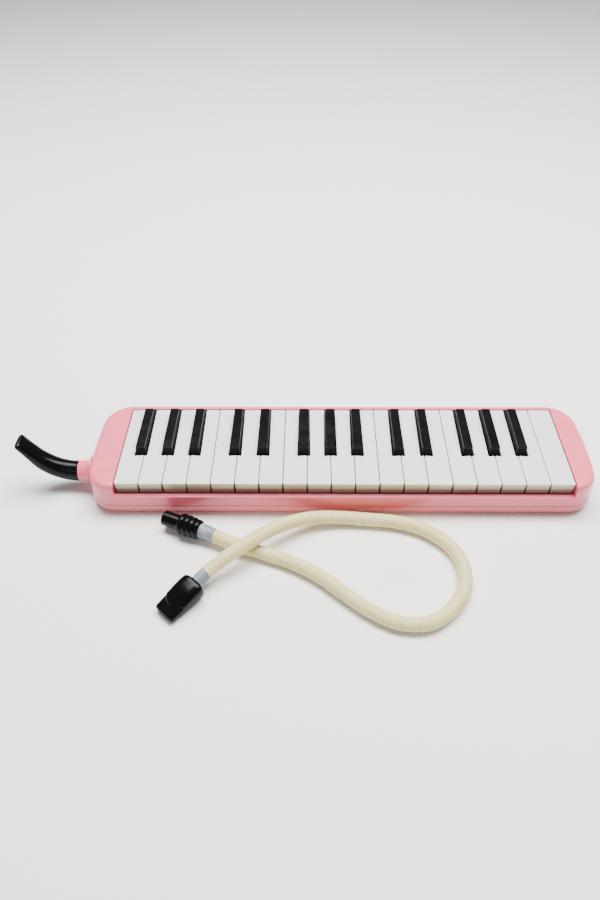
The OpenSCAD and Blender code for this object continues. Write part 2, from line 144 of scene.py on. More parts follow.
# ---------- materials ----------
def srgb(code):
    """Linear colour from an sRGB hex code."""
    parts = [int(code[i:i + 2], 16) / 255 for i in (1, 3, 5)]
    linear = [c / 12.92 if c <= 0.04045 else ((c + 0.055) / 1.055) ** 2.4 for c in parts]
    return (*linear, 1.0)


def add_node(tree, kind, inputs=None, **settings):
    """Adds one node: its settings, and for each input either a value or the socket that feeds it."""
    made = tree.nodes.new(kind)
    for key, value in settings.items():
        setattr(made, key, value)
    for key, value in (inputs or {}).items():
        if isinstance(value, bpy.types.NodeSocket):
            tree.links.new(value, made.inputs[key])
        else:
            made.inputs[key].default_value = value
    return made


def blank_material(name, **shader_values):
    """A material with one Principled shader, whose constant values are set on its own sockets."""
    made = bpy.data.materials.new(name)
    made.use_nodes = True
    tree = made.node_tree
    shader = tree.nodes["Principled BSDF"]
    for key, value in shader_values.items():
        shader.inputs[key.replace("_", " ")].default_value = value
    where = add_node(tree, "ShaderNodeTexCoord").outputs["Object"]
    return made, tree, shader, where


def noise(tree, where, size, detail=2.0, stretch=None):
    """Noise whose grains are about size millimetres across, longer along the stretched axes."""
    if stretch:
        where = add_node(tree, "ShaderNodeMapping", {"Vector": where, "Scale": stretch}).outputs["Vector"]
    return add_node(tree, "ShaderNodeTexNoise",
                    {"Vector": where, "Scale": 1 / (size * MM), "Detail": detail}).outputs["Fac"]


def span(tree, value, low, high, start=0.3, stop=0.7):
    """Maps a pattern's middle range to low..high."""
    return add_node(tree, "ShaderNodeMapRange", {
        "Value": value, "From Min": start, "From Max": stop, "To Min": low, "To Max": high}).outputs["Result"]


def calc(tree, operation, first, second=0.0):
    """One step of arithmetic on two numbers or sockets."""
    return add_node(tree, "ShaderNodeMath", {0: first, 1: second}, operation=operation).outputs[0]


def blend_colours(tree, factor, first, second):
    """The first colour where factor is 0, the second where it is 1."""
    return add_node(tree, "ShaderNodeMix", {0: factor, 6: first, 7: second}, data_type="RGBA").outputs[2]


def add_relief(tree, shader, height, depth):
    """Bump of a real depth in millimetres."""
    bump = add_node(tree, "ShaderNodeBump", {"Height": height, "Distance": depth * MM, "Strength": 1.0})
    tree.links.new(bump.outputs["Normal"], shader.inputs["Normal"])


def moulded(name, light, dark, gloss, dull, grain, depth, below=(), matt_below=None, **shader_values):
    """Injection-moulded plastic: even colour with a faint cloud, soft orange-peel and handling smears.

    Each (high, low, colour) of below is a band of painted shade: it turns the colour to that one from one
    height down to the other.
    Under the height matt_below the mould is unpolished, and the surface is matt.
    """
    made, tree, shader, where = blank_material(name, **shader_values)
    cloud = noise(tree, where, 38.0)
    tone = blend_colours(tree, span(tree, cloud, 0.0, 1.0), srgb(light), srgb(dark))
    height = add_node(tree, "ShaderNodeSeparateXYZ", {0: where}).outputs["Z"]
    for high, low, colour in below:
        share = span(tree, height, 0.0, 1.0, high * MM, low * MM)
        tone = blend_colours(tree, share, tone, srgb(colour))
    tree.links.new(tone, shader.inputs["Base Color"])
    smear = noise(tree, where, 9.0, 4.0, (0.5, 1.0, 1.0))
    roughness = span(tree, smear, gloss, dull)
    if matt_below:
        matt = span(tree, height, 0.0, 0.85, matt_below * MM, (matt_below - 0.3) * MM)
        roughness = calc(tree, "MAXIMUM", roughness, matt)
    tree.links.new(roughness, shader.inputs["Roughness"])
    add_relief(tree, shader, noise(tree, where, grain, 3.0), depth)
    return made


def drawn_metal(name, light, dark, gloss, dull, stretch):
    """Drawn or rolled metal: bright, with fine lines along the way it was drawn."""
    made, tree, shader, where = blank_material(name, Metallic=1.0)
    lines = noise(tree, where, 0.4, 3.0, stretch)
    tree.links.new(blend_colours(tree, lines, srgb(light), srgb(dark)), shader.inputs["Base Color"])
    tree.links.new(span(tree, lines, gloss, dull), shader.inputs["Roughness"])
    add_relief(tree, shader, lines, 0.01)
    return made


def soft_material(name, light, dark, fibre, depth, rough=0.95, sheen=0.0):
    """Felt, foam or rubber: matt, with a visible fibre or cell."""
    made, tree, shader, where = blank_material(name, Sheen_Weight=sheen, Roughness=rough)
    fluff = noise(tree, where, fibre, 5.0)
    tone = blend_colours(tree, span(tree, fluff, 0, 1), srgb(light), srgb(dark))
    tree.links.new(tone, shader.inputs["Base Color"])
    add_relief(tree, shader, fluff, depth)
    return made


def webbing_material():
    """Woven nylon tape: black threads in 1.2 mm ribs across the tape and 0.8 mm ones along it."""
    made, tree, shader, where = blank_material("woven_nylon_tape", Roughness=0.72, Sheen_Weight=0.25)
    waves = []
    for direction, pitch in (("X", 1.2), ("Y", 0.8)):
        waves.append(add_node(tree, "ShaderNodeTexWave", {
            "Vector": where, "Scale": 1 / (pitch * MM * math.pi), "Distortion": 0.4, "Detail": 1.0},
            bands_direction=direction).outputs["Fac"])
    weave = calc(tree, "MULTIPLY", *waves)
    tree.links.new(blend_colours(tree, weave, srgb("#101012"), srgb("#2C2C30")), shader.inputs["Base Color"])
    add_relief(tree, shader, weave, 0.25)
    return made


def hose_material():
    """Soft vinyl tube: cream on the ridges, with painted shade in the grooves that makes them yellower and
    darker.
    """
    made, tree, shader, where = blank_material(
        "soft_vinyl_tube", Subsurface_Weight=0.18, Subsurface_Scale=0.004, Coat_Weight=0.1)
    ridge = add_node(tree, "ShaderNodeAttribute", attribute_name="ridge").outputs["Fac"]
    # painted shade: the grooves get a darker, yellower colour than the ridges
    tone = blend_colours(tree, ridge, srgb("#A38C42"), srgb("#F3E6AE"))
    age = span(tree, noise(tree, where, 30.0, 3.0), 0.0, 0.3)
    tree.links.new(blend_colours(tree, age, tone, srgb("#DCCF92")), shader.inputs["Base Color"])
    tree.links.new(span(tree, noise(tree, where, 4.0), 0.34, 0.5), shader.inputs["Roughness"])
    add_relief(tree, shader, noise(tree, where, 0.6), 0.02)
    return made


def cuff_material():
    """Clear grey vinyl sleeve: light comes part of the way through it."""
    made, tree, shader, where = blank_material("clear_grey_vinyl", Transmission_Weight=0.35, IOR=1.45)
    haze = noise(tree, where, 6.0, 3.0)
    tree.links.new(blend_colours(tree, span(tree, haze, 0, 1), srgb("#B3BDC9"), srgb("#808B99")),
                   shader.inputs["Base Color"])
    tree.links.new(span(tree, haze, 0.22, 0.4), shader.inputs["Roughness"])
    add_relief(tree, shader, noise(tree, where, 0.8), 0.02)
    return made


MATERIALS = {
    # glossy ABS in a pale rose, with painted shade making it deeper down the walls from 21 mm to 9 mm: the case
    # halves and the blow socket
    "case_pink": moulded("moulded_rose_abs", "#F07389", "#EC6E84", 0.16, 0.26, 0.9, 0.006,
                         ((21.0, 9.0, "#DA6571"),), Coat_Weight=0.1),
    # polished ABS in a cool white; painted shade on the fronts and sides turns them beige below the top edge
    # and dark brown lower down, so the gaps between keys read dark
    "key_white": moulded("moulded_white_abs", "#E6E8E6", "#E0E2E0", 0.14, 0.24, 0.9, 0.004,
                         ((31.5, 31.0, "#CBC19C"), (30.6, 25.0, "#6B6055")), Coat_Weight=0.2),
    # black ABS: sharp reflections on the polished tops, flat black on the unpolished sides
    "key_black": moulded("moulded_black_abs", "#09090A", "#060607", 0.16, 0.28, 0.9, 0.004,
                         matt_below=38.6, Specular_IOR_Level=0.25),
    # black ABS that is handled more: smooth, with weak reflections
    "black_plastic": moulded("handled_black_abs", "#0A0A0B", "#070708", 0.14, 0.24, 0.7, 0.008,
                             Specular_IOR_Level=0.12),
    # dark ABS of the keybed, left as it came from the mould; its dark colour is painted shade, standing in for
    # the shade deep in the gaps, so the gaps between keys read black
    "inner_plastic": moulded("plain_dark_abs", "#161617", "#111112", 0.45, 0.6, 0.5, 0.012,
                             Specular_IOR_Level=0.3),
    # dark styrene of the wind chamber
    "cover_plastic": moulded("moulded_dark_styrene", "#26262A", "#1D1D20", 0.35, 0.5, 0.5, 0.012),
    # zinc-plated screws and strap buttons: pale grey metal
    "steel": drawn_metal("plated_steel", "#C9CBCE", "#A9ABAF", 0.2, 0.34, (0.15, 1.0, 1.0)),
    # tempered leaf springs, coil and key rod: darker metal
    "spring_steel": drawn_metal("tempered_spring_steel", "#4B4C4F", "#37383B", 0.3, 0.42,
                                (1.0, 0.15, 1.0)),
    # rolled brass sheet, a warm yellow
    "reed_brass": drawn_metal("rolled_brass", "#D9B765", "#B98F3E", 0.22, 0.36, (0.15, 1.0, 1.0)),
    # pressed wool felt: matt wine red with visible fibres
    "felt": soft_material("pressed_wool_felt", "#7A2028", "#571419", 0.6, 0.3, 0.98, 0.35),
    # moulded nitrile rubber: dark and nearly matt
    "gasket": soft_material("nitrile_rubber", "#2B2B2D", "#1E1E20", 1.2, 0.05, 0.6),
    # open-cell foam: charcoal with 0.7 mm cells
    "foam": soft_material("open_cell_foam", "#3A3A3C", "#19191A", 0.7, 0.4),
    # woven nylon tape, soft vinyl tube and clear grey vinyl sleeve, each as its function says
    "webbing": webbing_material(),
    "hose_vinyl": hose_material(),
    "cuff_vinyl": cuff_material(),
}


# ---------- mesh helpers ----------
def loft(rings, closed=False):
    """Skin over rings of equal count: closed joins the last ring to the first, else both ends are capped."""
    n, m = len(rings[0]), len(rings)
    verts = [Vector(p) for ring in rings for p in ring]
    faces = []
    for j in range(m if closed else m - 1):
        a, b = j * n, (j + 1) % m * n
        faces += [(a + k, a + (k + 1) % n, b + (k + 1) % n, b + k) for k in range(n)]
    if not closed:
        faces += [tuple(reversed(range(n))), tuple(range((m - 1) * n, m * n))]
    return verts, faces


def mesh_from(shells):
    """One mesh in metres from closed shells, each with its faces turned outwards."""
    whole = bmesh.new()
    for verts, faces in shells:
        one = [whole.verts.new(v * MM) for v in verts]
        made = [whole.faces.new([one[k] for k in face]) for face in faces]
        bmesh.ops.recalc_face_normals(whole, faces=made)
    mesh = bpy.data.meshes.new("shape")
    whole.to_mesh(mesh)
    whole.free()
    return mesh


def evaluated(shape):
    """The mesh of an object with its modifiers applied."""
    graph = bpy.context.evaluated_depsgraph_get()
    graph.update()
    return bpy.data.meshes.new_from_object(shape.evaluated_get(graph))


def carve(mesh, steps):
    """Joins or cuts closed meshes, in order: steps are (operation, mesh)."""
    base = add_object("blank", mesh)
    tools = []
    for operation, tool_mesh in steps:
        tool = add_object("tool", tool_mesh)
        tools.append(tool)
        step = base.modifiers.new("step", "BOOLEAN")
        step.operation = operation
        step.solver = "EXACT"
        step.object = tool
    result = evaluated(base)
    for used in tools + [base]:
        bpy.data.objects.remove(used)
    return result


def soften(mesh, chosen, width, segments=3):
    """Rounds the sharp edges whose ends both pass the test chosen(point in millimetres)."""
    work = bmesh.new()
    work.from_mesh(mesh)
    bmesh.ops.remove_doubles(work, verts=work.verts, dist=1e-6)
    bmesh.ops.dissolve_limit(work, angle_limit=FLAT_JOIN, verts=work.verts, edges=work.edges)
    sharp = []
    for edge in work.edges:
        if len(edge.link_faces) == 2 and edge.calc_face_angle() > SHARP_EDGE:
            if chosen(edge.verts[0].co / MM, edge.verts[1].co / MM):
                sharp.append(edge)
    bmesh.ops.bevel(work, geom=sharp, offset=width * MM, segments=segments, profile=0.5,
                    affect="EDGES", clamp_overlap=True)
    work.to_mesh(mesh)
    work.free()
    return mesh


def finish_piece(name, mesh, slot, body, replaces=(), crease=32):
    """Makes one named piece of a mesh: material, smooth faces with flat-weighted normals, body and slot."""
    mesh.materials.clear()
    mesh.materials.append(MATERIALS[slot])
    mesh.shade_smooth()
    mesh.set_sharp_from_angle(angle=math.radians(crease))
    draft = add_object("draft", mesh)
    even = draft.modifiers.new("even", "WEIGHTED_NORMAL")
    even.keep_sharp = True
    result = evaluated(draft)
    bpy.data.objects.remove(draft)
    result.name = name
    made = add_object(name, result)
    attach(made, body)
    if replaces:
        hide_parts(*replaces)
    return made


def box_shell(low, high):
    x0, y0, z0 = low
    x1, y1, z1 = high
    plan = [(x0, y0), (x1, y0), (x1, y1), (x0, y1)]
    return loft([[(x, y, z) for x, y in plan] for z in (z0, z1)])


def quarter(radius, steps):
    """A quarter round as (inset, rise) pairs, from the wall up to the flat."""
    angles = [math.pi / 2 * k / steps for k in range(steps + 1)]
    return [(radius * (1 - math.cos(a)), radius * math.sin(a)) for a in angles]


def corner_arcs(corners, z, steps=4):
    """Plan outline at height z with each (x, y, radius) corner rounded."""
    points = []
    for k, (x, y, radius) in enumerate(corners):
        corner = Vector((x, y))
        before = (Vector(corners[k - 1][:2]) - corner).normalized()
        after = (Vector(corners[(k + 1) % len(corners)][:2]) - corner).normalized()
        half = before.angle(after) / 2
        centre = corner + (before + after).normalized() * (radius / math.sin(half))
        first = corner + before * (radius / math.tan(half)) - centre
        last = corner + after * (radius / math.tan(half)) - centre
        for j in range(steps + 1):
            p = centre + first.slerp(last, j / steps)
            points.append((p.x, p.y, z))
    return points


def slab(x0, x1, y0, y1, z0, z1, radius, edge, steps=3):
    """A flat block with rounded corners and rounded top and bottom edges."""
    def ring(inset, z):
        r = max(radius - inset, 0.05)
        return corner_arcs([(x0 + inset, y0 + inset, r), (x1 - inset, y0 + inset, r),
                            (x1 - inset, y1 - inset, r), (x0 + inset, y1 - inset, r)], z)
    low = [ring(i, z0 + edge - rise) for i, rise in reversed(quarter(edge, steps))]
    high = [ring(i, z1 - edge + rise) for i, rise in quarter(edge, steps)]
    return loft(low + high)


def turned(profile, start, axis, sides=48, bored=False):
    """A turned shape: profile is (distance along the axis, radius); a bored one closes on itself."""
    axis = Vector(axis).normalized()
    side = axis.cross(Vector((0, 0, 1)))
    side = side.normalized() if side.length > 0.01 else Vector((1, 0, 0))
    up = side.cross(axis)
    rings = []
    for along, radius in profile:
        middle = Vector(start) + axis * along
        angles = [TAU * k / sides for k in range(sides)]
        rings.append([middle + radius * (math.cos(a) * side + math.sin(a) * up) for a in angles])
    return loft(rings, closed=bored)


def smooth_path(points, steps):
    """A smooth line through the points (Catmull-Rom), with a number of steps from each to the next."""
    pts = [Vector(p) for p in points]
    pts = [2 * pts[0] - pts[1]] + pts + [2 * pts[-1] - pts[-2]]
    line = []
    for k in range(1, len(pts) - 2):
        a, b, c, d = pts[k - 1:k + 3]
        for j in range(steps):
            t = j / steps
            line.append(0.5 * (2 * b + (c - a) * t + (2 * a - 5 * b + 4 * c - d) * t ** 2
                               + (3 * b - a - 3 * c + d) * t ** 3))
    return line + [pts[-2]]


# ---------- Geometry Nodes trees ----------
def new_tree(name, inputs):
    """An empty Geometry Nodes tree with named inputs: (name, socket type, value)."""
    tree = bpy.data.node_groups.new(name, "GeometryNodeTree")
    tree.interface.new_socket("Geometry", in_out="INPUT", socket_type="NodeSocketGeometry")
    tree.interface.new_socket("Geometry", in_out="OUTPUT", socket_type="NodeSocketGeometry")
    for label, kind, value in inputs:
        socket = tree.interface.new_socket(label, in_out="INPUT", socket_type=kind)
        if value is not None:
            socket.default_value = value
    return tree, add_node(tree, "NodeGroupInput").outputs


def close_tree(tree, geometry, material):
    """Ends a tree: instances made real, and the material set."""
    real = add_node(tree, "GeometryNodeRealizeInstances", {"Geometry": geometry})
    painted = add_node(tree, "GeometryNodeSetMaterial", {"Geometry": real.outputs[0], "Material": material})
    add_node(tree, "NodeGroupOutput", {"Geometry": painted.outputs[0]})
    return tree


def grow(tree, geometry, sizes):
    """Runs a tree on a mesh or curve with the given sizes and returns the plain mesh."""
    seed = add_object("seed", geometry)
    modifier = seed.modifiers.new("grow", "NODES")
    modifier.node_group = tree
    for socket in tree.interface.items_tree:
        if socket.item_type == "SOCKET" and socket.in_out == "INPUT" and socket.name in sizes:
            modifier[socket.identifier] = sizes[socket.name]
    result = evaluated(seed)
    bpy.data.objects.remove(seed)
    return result


def points_mesh(points):
    mesh = bpy.data.meshes.new("points")
    mesh.from_pydata([Vector(p) * MM for p in points], [], [])
    return mesh


def hose_tree():
    """Corrugated tube round a curve: round ridges and narrow grooves at an even pitch."""
    tree, given = new_tree("corrugated_tube", [
        ("Radius", "NodeSocketFloat", 0.006), ("Groove", "NodeSocketFloat", 0.0005),
        ("Pitch", "NodeSocketFloat", 0.0015), ("Steps", "NodeSocketInt", 6),
        ("Sides", "NodeSocketInt", 28), ("Material", "NodeSocketMaterial", None)])
    length = add_node(tree, "GeometryNodeCurveLength", {"Curve": given["Geometry"]}).outputs["Length"]
    count = calc(tree, "MULTIPLY", calc(tree, "DIVIDE", length, given["Pitch"]), given["Steps"])
    fine = add_node(tree, "GeometryNodeResampleCurve", {"Curve": given["Geometry"], "Count": count})
    along = add_node(tree, "GeometryNodeSplineParameter").outputs["Length"]
    turns = calc(tree, "MULTIPLY", calc(tree, "DIVIDE", along, given["Pitch"]), math.pi)
    ridge = calc(tree, "POWER", calc(tree, "ABSOLUTE", calc(tree, "SINE", turns)), 0.6)
    # the ridge share is kept on the points; the tube's material paints shade into the grooves from it
    marked = add_node(tree, "GeometryNodeStoreNamedAttribute", {
        "Geometry": fine.outputs[0], "Name": "ridge", "Value": ridge}, data_type="FLOAT", domain="POINT")
    dip = calc(tree, "MULTIPLY", calc(tree, "SUBTRACT", 1.0, ridge), given["Groove"])
    radius = calc(tree, "SUBTRACT", given["Radius"], dip)
    ring = add_node(tree, "GeometryNodeCurvePrimitiveCircle", {"Resolution": given["Sides"], "Radius": 1.0})
    tube = add_node(tree, "GeometryNodeCurveToMesh", {
        "Curve": marked.outputs[0], "Profile Curve": ring.outputs["Curve"], "Scale": radius,
        "Fill Caps": True})
    return close_tree(tree, tube.outputs[0], given["Material"])


def screw_tree():
    """Pan-head screws, one at each point, heads down, each head with a cross recess."""
    tree, given = new_tree("cross_recess_screws", [
        ("Head radius", "NodeSocketFloat", 0.0024), ("Head height", "NodeSocketFloat", 0.0015),
        ("Shaft radius", "NodeSocketFloat", 0.001), ("Shaft length", "NodeSocketFloat", 0.01),
        ("Material", "NodeSocketMaterial", None)])
    height, wide = given["Head height"], given["Head radius"]
    half = calc(tree, "MULTIPLY", height, 0.5)
    crown = add_node(tree, "GeometryNodeMeshCone", {
        "Vertices": 24, "Radius Top": wide, "Radius Bottom": calc(tree, "MULTIPLY", wide, 0.72),
        "Depth": half})
    flange = add_node(tree, "GeometryNodeMeshCylinder", {"Vertices": 24, "Radius": wide, "Depth": half})
    above = add_node(tree, "ShaderNodeCombineXYZ", {"Z": calc(tree, "MULTIPLY", height, 0.75)})
    raised = add_node(tree, "GeometryNodeTransform", {
        "Geometry": flange.outputs["Mesh"], "Translation": above.outputs[0]})
    slots = []
    for along, across in (("X", "Y"), ("Y", "X")):
        sizes = add_node(tree, "ShaderNodeCombineXYZ", {
            along: calc(tree, "MULTIPLY", wide, 1.1), across: calc(tree, "MULTIPLY", wide, 0.26),
            "Z": height})
        slots.append(add_node(tree, "GeometryNodeMeshCube", {"Size": sizes.outputs[0]}).outputs["Mesh"])
    head = add_node(tree, "GeometryNodeMeshBoolean", {"Mesh 1": crown.outputs["Mesh"], "Mesh 2": slots[0]},
                    operation="DIFFERENCE")
    tree.links.new(slots[1], head.inputs["Mesh 2"])
    shaft = add_node(tree, "GeometryNodeMeshCylinder", {
        "Vertices": 16, "Radius": given["Shaft radius"], "Depth": given["Shaft length"]})
    rise = calc(tree, "ADD", height, calc(tree, "MULTIPLY", given["Shaft length"], 0.5))
    above = add_node(tree, "ShaderNodeCombineXYZ", {"Z": rise})
    lifted = add_node(tree, "GeometryNodeTransform", {
        "Geometry": shaft.outputs["Mesh"], "Translation": above.outputs[0]})
    screw = add_node(tree, "GeometryNodeJoinGeometry")
    for part in (head.outputs["Mesh"], raised.outputs[0], lifted.outputs[0]):
        tree.links.new(part, screw.inputs[0])
    spread = add_node(tree, "GeometryNodeInstanceOnPoints", {
        "Points": given["Geometry"], "Instance": screw.outputs[0]})
    return close_tree(tree, spread.outputs[0], given["Material"])


def add_hose():
    """The tube, its two cuffs, the ribbed connector and the flat mouthpiece."""
    line = smooth_path(HOSE, 10)
    curve = bpy.data.curves.new("route", "CURVE")
    curve.dimensions = "3D"
    spline = curve.splines.new("POLY")
    spline.points.add(len(line) - 1)
    for point, place in zip(spline.points, line):
        point.co = (*(place * MM), 1)
    mesh = grow(hose_tree(), curve, {
        "Radius": HOSE_R * MM, "Groove": GROOVE * MM, "Pitch": RIDGE_PITCH * MM, "Steps": 6, "Sides": 28,
        "Material": MATERIALS["hose_vinyl"]})
    mesh.name = "hose_tube"
    mesh.shade_smooth()
    tube = add_object("hose_tube", mesh)
    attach(tube, "case")
    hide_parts("hose")
    ends = [add_cuff("connector_cuff", CONNECTOR_AT, Vector(HOSE[0]), 6.4, 6.0),
            add_cuff("lip_cuff", LIP_FROM, Vector(HOSE[-1]), 5.4, 5.5)]
    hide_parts("hose_cuffs")
    connector = add_connector()
    lip = add_lip_piece()


def add_cuff(name, start, hose_end, wide, narrow):
    """Clear sleeve with raised bands, from a fitting to the end of the hose."""
    axis = (hose_end - start).normalized()
    full = (hose_end - start).length
    outer, bands = [], 5
    for k in range(bands):
        base = full * (k + 0.1) / bands
        r = wide + (narrow - wide) * k / (bands - 1)
        outer += [(base, r - 0.4), (base + 0.3, r), (base + 1.2, r), (base + 1.5, r - 0.4)]
    profile = [(-0.4, wide - 0.5)] + outer + [(full, narrow - 0.4), (full, 4.5), (-0.4, 4.4)]
    return finish_piece(name, mesh_from([turned(profile, start, axis, 40, True)]), "cuff_vinyl", "case")


def add_connector():
    """Black stepped connector: grip of four thick rounded rings, plain plug and through bore."""
    axis = Vector((math.cos(CONNECTOR_TURN), math.sin(CONNECTOR_TURN), 0))
    ring_radii, grip, cuts, groove = (8.1, 8.6, 9.0, 9.1), 18.2, 9, 1.1
    ring_run = grip / len(ring_radii)
    outer = [(0, 6.6), (0.3, 7.0)]
    for k, radius in enumerate(ring_radii):
        for j in range(cuts):
            swell = math.sin(math.pi * j / cuts) ** 0.45
            outer.append((0.5 + ring_run * (k + j / cuts), radius - groove * (1 - swell)))
    outer += [(18.9, 8.2), (19.0, PLUG_R), (33.4, PLUG_R), (34.2, PLUG_R - 0.3), (34.5, PLUG_R - 0.9),
              (34.5, 4.5), (34.2, 4.2), (0.2, 4.2), (0, 4.4)]
    mesh = mesh_from([turned(outer, CONNECTOR_AT, axis, 56, True)])
    return finish_piece("connector_shell", mesh, "black_plastic", "case", ["hose_connector"])


def flat_ring(middle, side, up, half_w, half_h, power, sides):
    """Ring between an ellipse (power 2) and a rounded rectangle."""
    points = []
    for k in range(sides):
        c, s = math.cos(TAU * k / sides), math.sin(TAU * k / sides)
        u = math.copysign(abs(c) ** (2 / power), c) * half_w
        v = math.copysign(abs(s) ** (2 / power), s) * half_h
        points.append(middle + side * u + up * v)
    return points


def stage_value(stages, t):
    """Each column of a stage table at t, on a smooth curve through the stages."""
    last = len(stages) - 1
    k = next((j for j in range(last) if t <= stages[j + 1][0]), last - 1)
    low, high = stages[k], stages[k + 1]
    before, after = stages[max(k - 1, 0)], stages[min(k + 2, last)]
    run = high[0] - low[0]
    f = min(1.0, max(0.0, (t - low[0]) / run))
    values = []
    for a, b, c, d in zip(before[1:], low[1:], high[1:], after[1:]):
        start = (c - a) / (high[0] - before[0]) * run
        stop = (d - b) / (after[0] - low[0]) * run
        values.append((2 * f ** 3 - 3 * f ** 2 + 1) * b + (f ** 3 - 2 * f ** 2 + f) * start
                      + (3 * f ** 2 - 2 * f ** 3) * c + (f ** 3 - f ** 2) * stop)
    return values


def add_lip_piece():
    """Flat whistle-shaped mouthpiece: thick heel, a crescent step across its back, thin lips with a slot."""
    axis = (LIP_TO - LIP_FROM).normalized()
    length = (LIP_TO - LIP_FROM).length
    side = axis.cross(Vector((0, 0, 1))).normalized()
    up = side.cross(axis)
    # share of the length, half width, half height, squareness
    stages = [(0, 8.4, 6.5, 2.7), (0.06, 10.0, 7.15, 3.2), (0.16, 10.5, 7.3, 3.4), (0.35, 10.5, 7.0, 3.4),
              (0.62, 10.2, 5.7, 3.4), (0.85, 9.9, 4.5, 3.6), (1.0, 9.6, 4.0, 3.6)]
    sides, count, rings = 112, 90, []
    for j in range(count + 1):
        t = j / count
        half_w, half_h, power = stage_value(stages, t)
        end = 1 - math.sqrt(max(0.0, 1 - max(0.0, (t - 0.94) / 0.06) ** 2))
        start = 1 - math.sqrt(max(0.0, 1 - max(0.0, 1 - t / 0.045) ** 2))
        middle = LIP_FROM + axis * length * t
        ring = flat_ring(middle, side, up, half_w - 1.6 * end - 1.2 * start,
                         half_h - 0.9 * end - 1.2 * start, power, sides)
        for k, p in enumerate(ring):
            height = (p - middle).dot(up)
            across = (p - middle).dot(side) / half_w
            if height > 0:
                step = min(1.0, max(0.0, (t - 0.77 + 0.18 * across ** 2) / 0.022))
                ring[k] = p - up * 0.95 * step * step * (3 - 2 * step) * min(1.0, 1.6 * height / half_h)
        rings.append(ring)
    slot_stages = [(0, 4.4, 4.4, 2.0), (0.35, 6.0, 4.2, 2.4), (0.7, 7.0, 2.8, 3.0), (1.0, 7.4, 1.6, 3.4)]
    for j in range(20, -1, -1):
        t = j / 20
        half_w, half_h, power = stage_value(slot_stages, t)
        middle = LIP_FROM + axis * length * t - up * 0.35 * t
        rings.append(flat_ring(middle, side, up, half_w, half_h, power, sides))
    mesh = mesh_from([loft(rings, closed=True)])
    return finish_piece("lip_shell", mesh, "black_plastic", "case", ["hose_mouthpiece"], 50)


add_hose()


# ---------- case ----------
def case_ring(inset, z, outside=False):
    """Outline of the case drawn in by inset: straight sides, round corners, slightly bowed ends.

    Outside, the wall leans in a little towards the top, as a mould's draft makes it.
    """
    if outside:
        inset += DRAFT * (z - DRAFT_Z)
    half_w = CASE_W / 2
    bow_centre = CASE_L / 2 - BOW_R
    right = []
    for sign, radius in ((-1, FRONT_R), (1, BACK_R)):
        cy = sign * (half_w - radius)
        cx = bow_centre + math.sqrt((BOW_R - radius) ** 2 - cy ** 2)
        lean = math.asin(cy / (BOW_R - radius))
        first, last = (-math.pi / 2, lean) if sign < 0 else (lean, math.pi / 2)
        angles = [first + (last - first) * k / ARC_STEPS for k in range(ARC_STEPS + 1)]
        arc = [(cx + (radius - inset) * math.cos(a), cy + (radius - inset) * math.sin(a)) for a in angles]
        if right:
            bow = BOW_R - inset
            start, stop = math.asin(right[-1][1] / bow), math.asin(arc[0][1] / bow)
            angles = [start + (stop - start) * k / BOW_STEPS for k in range(1, BOW_STEPS)]
            right += [(bow_centre + bow * math.cos(a), bow * math.sin(a)) for a in angles]
        right += arc
    left = [(-x, y) for x, y in reversed(right)]
    return [(x, y, z) for x, y in right + left]


def drum(x, y, z0, z1, radius):
    """Upright round post."""
    return turned([(0, radius), (z1 - z0, radius)], (x, y, z0), (0, 0, 1), 24)


def socket_hole():
    """Round hole through the left wall for the blow socket's neck."""
    return turned([(0, NOSE_R + 0.1), (14, NOSE_R + 0.1)], (-220, SOCKET_Y, SOCKET_Z), (1, 0, 0), 48)


def add_upper_case():
    """Upper half: rounded shell with the keyboard's well and the low front rim cut from it."""
    skin_z = CASE_H - TOP_R
    roof = CASE_H - WALL
    inner_r = TOP_R - WALL
    rings = [case_ring(TOP_R + 0.4, roof)]
    rings += [case_ring(WALL + i, roof - inner_r + rise) for i, rise in reversed(quarter(inner_r, 4))]
    rings += [case_ring(WALL, SEAM_Z + 1.6), case_ring(1.1, SEAM_Z + 1.6), case_ring(1.1, SEAM_Z),
              case_ring(0.6, SEAM_Z, True), case_ring(0.15, SEAM_Z + 0.2, True),
              case_ring(0, SEAM_Z + 0.6, True)]
    rings += [case_ring(i, skin_z + rise, True) for i, rise in quarter(TOP_R, 9)]
    rings.append(case_ring(TOP_R + 0.4, CASE_H, True))
    x0, x1 = KEYS_X0 - SLACK, KEYS_X1 + SLACK
    y0, y1 = KEYS_Y0 - SLACK, KEYS_Y1 + SLACK
    liner = box_shell((x0 - WALL, y0 - 0.8, WELL_FLOOR_Z), (x1 + WALL, y1 + WALL, CASE_H - 1))
    ledge = box_shell((x0 - WALL, 1.1 - CASE_W / 2, WELL_FLOOR_Z), (x1 + WALL, y0, RIM_Z + 2))
    well = box_shell((x0, y0, 0), (x1, y1, 50))
    front = box_shell((x0, -70, RIM_Z), (x1, KEYS_Y0, 50))
    posts = [drum(x, y, SEAM_Z + 0.2, CASE_H - 1, 3.0) for x, y in CORNER_POSTS]
    mesh = carve(mesh_from([loft(rings)]), [
        ("UNION", mesh_from([liner])), ("UNION", mesh_from([ledge])), ("UNION", mesh_from(posts)),
        ("DIFFERENCE", mesh_from([well])), ("DIFFERENCE", mesh_from([front])),
        ("DIFFERENCE", mesh_from([socket_hole()]))])

    def chosen(a, b):
        on_top = min(a.z, b.z) > CASE_H - 0.05
        on_step = min(a.z, b.z) > RIM_Z - 0.05 and max(a.y, b.y) < KEYS_Y0 + 0.05
        on_end = on_step and (abs(a.x - x0) + abs(b.x - x0) < 0.1 or abs(a.x - x1) + abs(b.x - x1) < 0.1)
        on_rim = on_step and max(a.z, b.z) < RIM_Z + 0.05
        return on_top or on_end or on_rim

    soften(mesh, chosen, 0.9)
    return finish_piece("upper_shell", mesh, "case_pink", "case", ["upper_case"])


